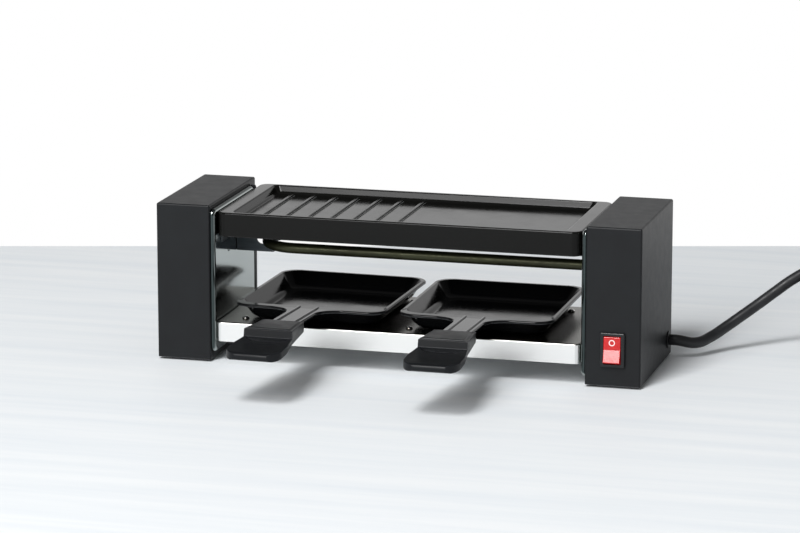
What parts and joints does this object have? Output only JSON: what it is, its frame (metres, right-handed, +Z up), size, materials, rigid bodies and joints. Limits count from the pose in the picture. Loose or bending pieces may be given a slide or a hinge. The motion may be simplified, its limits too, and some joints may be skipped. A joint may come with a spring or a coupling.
{
  "type": "raclette grill",
  "caption": "Small table-top raclette grill with a ribbed grill plate between upright housings, a hairpin heater, a steel tray, pans with handles, a rocker switch and a mains cord.",
  "frame": {"origin": "On the table, in the middle of the grill with its pans pushed in, measured without the free cord", "axes": "+X to the right as the user sees it, -Y towards the user, where the pan handles point, +Z up"},
  "size_m": [0.4713, 0.3906, 0.098],
  "materials": {
    "housing_plastic": "dark grey moulded plastic with a fine grain",
    "base_plastic": "black moulded plastic",
    "foot_rubber": "black rubber",
    "screw_steel": "zinc-plated steel",
    "cover_steel": "polished stainless sheet",
    "plate_coating": "black non-stick coating on cast aluminium",
    "ledge_steel": "bent stainless strip",
    "heater_steel": "dark annealed steel tube",
    "bushing_steel": "pressed steel",
    "ceramic": "white ceramic with a steel pin",
    "bracket_steel": "dark grey steel strip",
    "tray_steel": "mirror-polished stainless sheet",
    "pan_coating": "black non-stick coating on pressed aluminium",
    "handle_plastic": "black heat-proof plastic",
    "switch_plastic": "black plastic",
    "rocker_plastic": "translucent red plastic",
    "terminal_metal": "tinned brass",
    "limiter_case": "phenolic case",
    "cord_rubber": "black flexible cord",
    "grommet_rubber": "black rubber",
    "clamp_plastic": "white plastic",
    "wire_live": "brown insulation",
    "wire_neutral": "blue insulation",
    "wire_earth": "green and yellow insulation",
    "wire_inner": "white heat-proof sleeve",
    "plug_plastic": "black moulded plastic",
    "plug_metal": "nickel-plated brass"
  },
  "bodies": {
    "grill": {"bottom_tray": "tray_steel", "coil_tie": "cord_rubber", "cord": "cord_rubber", "cord_clamp": "clamp_plastic", "cord_coil": "cord_rubber", "cord_grommet": "grommet_rubber", "cord_inner": "cord_rubber", "cord_tail": "cord_rubber", "earth_stud": "terminal_metal", "heater_bracket": "bracket_steel", "heater_bushing_back": "bushing_steel", "heater_bushing_front": "bushing_steel", "heater_terminal_back": "ceramic", "heater_terminal_front": "ceramic", "heating_element": "heater_steel", "left_base_plate": "base_plastic", "left_base_screw_back": "screw_steel", "left_base_screw_front": "screw_steel", "left_foot_back": "foot_rubber", "left_foot_front": "foot_rubber", "left_housing_shell": "housing_plastic", "left_plate_ledge": "ledge_steel", "left_side_panel": "cover_steel", "left_tray_screw_back": "screw_steel", "left_tray_screw_front": "screw_steel", "plug_body": "plug_plastic", "plug_clip_left": "plug_metal", "plug_clip_right": "plug_metal", "plug_pin_left": "plug_metal", "plug_pin_right": "plug_metal", "right_base_plate": "base_plastic", "right_base_screw_back": "screw_steel", "right_base_screw_front": "screw_steel", "right_foot_back": "foot_rubber", "right_foot_front": "foot_rubber", "right_housing_shell": "housing_plastic", "right_plate_ledge": "ledge_steel", "right_side_panel": "cover_steel", "right_tray_screw_back": "screw_steel", "right_tray_screw_front": "screw_steel", "switch_body": "switch_plastic", "switch_terminal_lower": "terminal_metal", "switch_terminal_upper": "terminal_metal", "thermal_limiter": "limiter_case", "wire_earth": "wire_earth", "wire_limited": "wire_inner", "wire_live": "wire_live", "wire_neutral": "wire_neutral", "wire_switched": "wire_live"},
    "loose_plate": {"grill_plate": "plate_coating"},
    "loose_left_pan": {"left_pan": "pan_coating", "left_pan_handle": "handle_plastic", "left_pan_rivet": "screw_steel"},
    "loose_right_pan": {"right_pan": "pan_coating", "right_pan_handle": "handle_plastic", "right_pan_rivet": "screw_steel"},
    "rocker": {"switch_rocker": "rocker_plastic"}
  },
  "joints": [
    {"name": "plate_lift", "type": "slide", "parent": "grill", "child": "loose_plate", "axis": [0, 0, 1], "range_m": [0, 0.08]},
    {"name": "left_pan_pull", "type": "slide", "parent": "grill", "child": "loose_left_pan", "axis": [0, -1, 0], "range_m": [0, 0.15]},
    {"name": "right_pan_pull", "type": "slide", "parent": "grill", "child": "loose_right_pan", "axis": [0, -1, 0], "range_m": [0, 0.15]},
    {"name": "rocker_tip", "type": "hinge", "parent": "grill", "child": "rocker", "pos_m": [0.1342, -0.00088, 0.0238], "axis": [1, 0, 0], "range_deg": [0, 18]}
  ]
}
